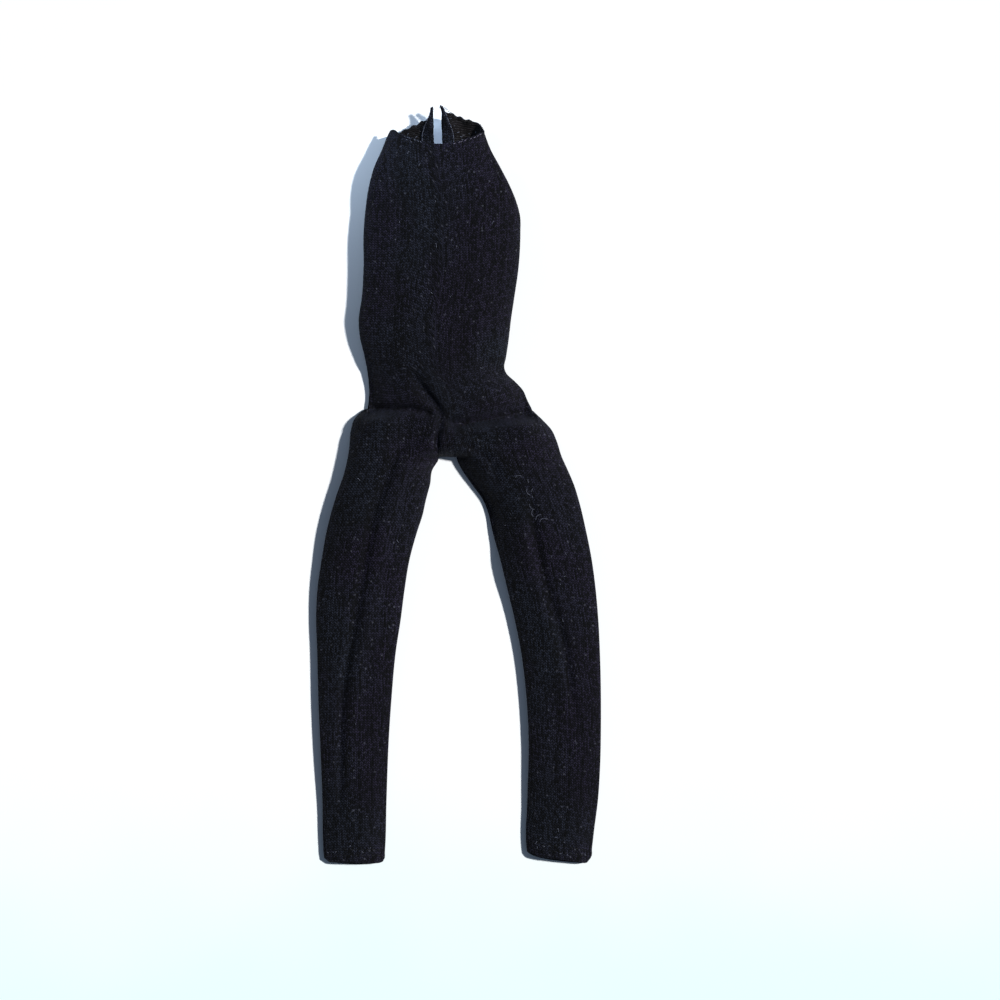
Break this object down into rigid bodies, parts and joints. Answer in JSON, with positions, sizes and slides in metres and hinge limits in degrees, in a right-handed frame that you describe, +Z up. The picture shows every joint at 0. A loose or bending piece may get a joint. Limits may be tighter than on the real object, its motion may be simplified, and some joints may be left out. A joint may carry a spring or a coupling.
{
  "type": "doll bodysuit",
  "caption": "Sleeveless halter-neck knit bodysuit for a fashion doll, hollow, with a back opening, full legs and turned hems, lying on its back.",
  "frame": {"origin": "middle of the lying suit's box, on the surface that it lies on", "axes": "+Z up, out of the front of the suit; +Y from the feet to the neck; +X to the wearer's left"},
  "size_m": [0.086, 0.2296, 0.01],
  "materials": {
    "knit": "matt fine jersey knit, near black with a blue cast",
    "turned_knit": "the same knit turned in and pressed",
    "closure_tape": "hook-and-loop tape, matt black",
    "sewing_thread": "polyester sewing thread, slight sheen"
  },
  "bodies": {
    "torso": {"front_panel": "knit", "back_panel_right": "knit", "back_panel_left": "knit", "crotch_gusset": "knit", "neck_facing": "turned_knit", "right_armhole_facing": "turned_knit", "left_armhole_facing": "turned_knit", "hook_strip": "closure_tape", "loop_strip": "closure_tape", "neck_stitching": "sewing_thread", "right_armhole_stitching": "sewing_thread", "left_armhole_stitching": "sewing_thread", "right_side_seam": "sewing_thread", "left_side_seam": "sewing_thread", "right_hip_seam": "sewing_thread", "left_hip_seam": "sewing_thread", "centre_back_seam": "sewing_thread"},
    "right_leg": {"right_leg_front": "knit", "right_leg_back": "knit", "right_leg_hem": "turned_knit", "right_hem_stitching": "sewing_thread", "right_leg_outseam": "sewing_thread", "right_leg_inseam": "sewing_thread"},
    "left_leg": {"left_leg_front": "knit", "left_leg_back": "knit", "left_leg_hem": "turned_knit", "left_hem_stitching": "sewing_thread", "left_leg_outseam": "sewing_thread", "left_leg_inseam": "sewing_thread"},
    "right_flap": {"right_neck_flap": "knit", "right_flap_facing": "turned_knit", "right_neck_overlock": "sewing_thread"},
    "left_flap": {"left_neck_flap": "knit", "left_flap_facing": "turned_knit", "left_neck_overlock": "sewing_thread"}
  },
  "joints": [
    {"name": "right_hip_fold", "type": "hinge", "parent": "torso", "child": "right_leg", "pos_m": [-0.01741, 0.02106, 0.00865], "axis": [-0.996, 0.0896, 0], "range_deg": [0, 100]},
    {"name": "left_hip_fold", "type": "hinge", "parent": "torso", "child": "left_leg", "pos_m": [0.01059, 0.02162, 0.00865], "axis": [-0.9917, -0.1289, 0], "range_deg": [0, 100]},
    {"name": "right_flap_fold", "type": "hinge", "parent": "torso", "child": "right_flap", "pos_m": [-0.00742, 0.1037, 0.0004], "axis": [0.9818, -0.1902, 0], "range_deg": [-28, 40]},
    {"name": "left_flap_fold", "type": "hinge", "parent": "torso", "child": "left_flap", "pos_m": [-0.00484, 0.1037, 0.0004], "axis": [0.977, 0.2131, 0], "range_deg": [-28, 40]}
  ]
}
